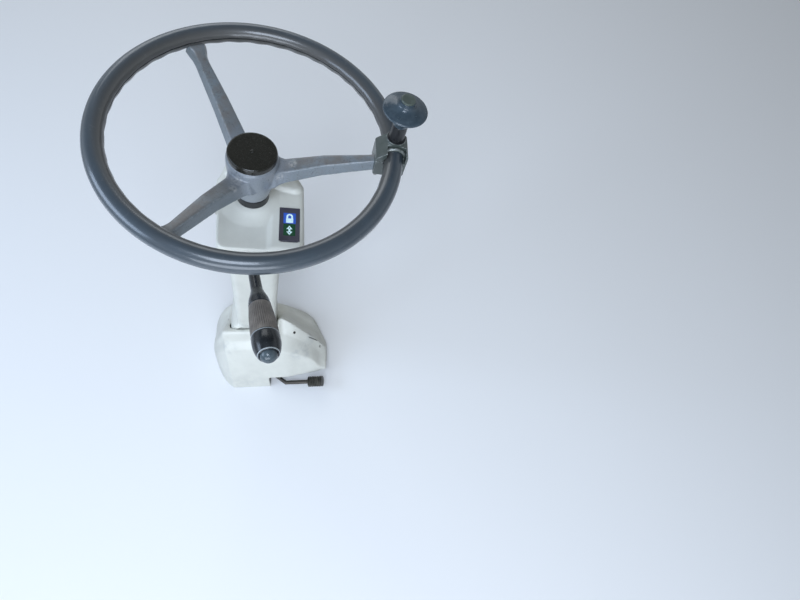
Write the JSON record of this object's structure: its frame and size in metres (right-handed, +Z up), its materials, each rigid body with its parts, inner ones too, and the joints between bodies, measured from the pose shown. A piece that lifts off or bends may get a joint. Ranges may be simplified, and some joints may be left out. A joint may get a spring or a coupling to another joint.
{
  "type": "tilting steering column with wheel, spinner knob and lever",
  "caption": "Tilting steering column for the cab of a wheeled machine: spoked wheel with a spinner knob, hand lever, release pedal and moulded covers on a bolted base.",
  "frame": {"origin": "centre of the floor bolts, on the underside of the base plate, where the line of the column meets the floor", "axes": "+Z up, +Y to the front of the machine, away from the driver, +X to the machine's right"},
  "size_m": [0.4704, 0.4257, 0.751],
  "materials": {
    "bracket_steel": "satin black paint on steel",
    "bright_steel": "worn bright steel",
    "cream_cover": "satin moulded cover",
    "rubber": "ribbed rubber",
    "black_plastic": "satin black plastic",
    "spider_paint": "worn gray paint on a casting",
    "rim_grip": "hand-worn grip",
    "cap_plastic": "satin cap with a bright bevel",
    "clamp_casting": "worn casting",
    "knob_gloss": "polished by hand",
    "lever_plastic": "worn gray-brown grip",
    "button_gloss": "glossy end button"
  },
  "bodies": {
    "base": {"base_plate": "bracket_steel", "pivot_bracket": "bracket_steel", "pivot_pins": "bright_steel", "foot_cover_left": "cream_cover", "foot_cover_right": "cream_cover", "pedal_bracket": "bracket_steel", "pedal_pin": "bright_steel"},
    "pedal": {"pedal_arm": "bright_steel", "pedal_sleeve": "rubber"},
    "column": {"column_fork": "bracket_steel", "column_tube": "bracket_steel", "neck_cover": "cream_cover", "head_lower": "cream_cover", "head_upper": "cream_cover", "shaft_collar": "black_plastic", "telltale_panel": "black_plastic", "lever_socket": "rubber", "lever_pin": "bright_steel"},
    "wheel": {"steering_shaft": "bright_steel", "wheel_spider": "spider_paint", "wheel_rim": "rim_grip", "hub_cap": "cap_plastic", "knob_clamp": "clamp_casting", "clamp_strap": "clamp_casting", "clamp_bolts": "bright_steel", "knob_stem": "clamp_casting"},
    "knob": {"spinner_knob": "knob_gloss", "knob_button": "black_plastic"},
    "lever": {"lever_stalk": "black_plastic", "lever_grip": "lever_plastic", "lever_band": "black_plastic", "lever_button": "button_gloss"}
  },
  "joints": [
    {"name": "tilt", "type": "hinge", "parent": "base", "child": "column", "pos_m": [0, -0.02008, 0.12], "axis": [1, 0, 0], "range_deg": [-9, 7]},
    {"name": "steer", "type": "hinge", "parent": "column", "child": "wheel", "pos_m": [0, -0.1154, 0.68958], "axis": [0, -0.165, 0.9863], "continuous": true},
    {"name": "knob_spin", "type": "hinge", "parent": "wheel", "child": "knob", "pos_m": [0.00475, -0.30886, 0.71804], "axis": [0, -0.165, 0.9863], "continuous": true},
    {"name": "lever_swing", "type": "hinge", "parent": "column", "child": "lever", "pos_m": [-0.09, -0.0903, 0.5275], "axis": [0, -0.165, 0.9863], "range_deg": [-9, 9]},
    {"name": "pedal_press", "type": "hinge", "parent": "base", "child": "pedal", "pos_m": [-0.096, -0.02, 0.018], "axis": [1, 0, 0], "range_deg": [0, 5], "stiffness_Nm_per_rad": 4, "springref_deg": -8.59}
  ]
}
